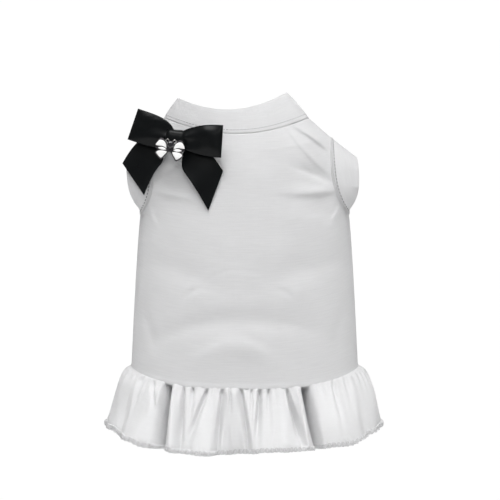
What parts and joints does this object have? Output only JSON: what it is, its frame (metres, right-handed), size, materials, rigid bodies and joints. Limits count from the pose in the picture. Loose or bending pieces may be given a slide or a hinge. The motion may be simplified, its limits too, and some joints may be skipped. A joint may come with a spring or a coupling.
{
  "type": "dog dress",
  "caption": "Short-sleeved knitted dog dress with a stand-up neck band, a gathered ruffle skirt, and a ribbon bow with an enamelled charm on one shoulder.",
  "frame": {"origin": "middle of the neck opening, level with the two ends of the seam between the neck band and the trunk", "axes": "+Z out of the neck opening towards the head, -Y towards the panel that covers the animal's back, +X towards the shoulder without the bow"},
  "size_m": [0.2208, 0.1428, 0.2904],
  "materials": {
    "white_jersey": "matt cotton jersey knit",
    "black_satin": "satin ribbon",
    "black_nickel": "dark plated cast metal",
    "white_enamel": "glossy enamel",
    "jet_glass": "polished cut glass"
  },
  "bodies": {
    "root": {"back_panel": "white_jersey", "belly_panel": "white_jersey", "neck_band": "white_jersey", "sleeve_left": "white_jersey", "sleeve_right": "white_jersey", "skirt": "white_jersey", "bow_loop_left": "black_satin", "bow_loop_right": "black_satin", "bow_tail_left": "black_satin", "bow_tail_right": "black_satin", "bow_knot": "black_satin", "charm_plate": "black_nickel", "enamel_loop_left": "white_enamel", "enamel_loop_right": "white_enamel", "enamel_fold_left": "white_enamel", "enamel_fold_right": "white_enamel", "enamel_tail_left": "white_enamel", "enamel_tail_right": "white_enamel", "charm_stone": "jet_glass"}
  },
  "joints": []
}
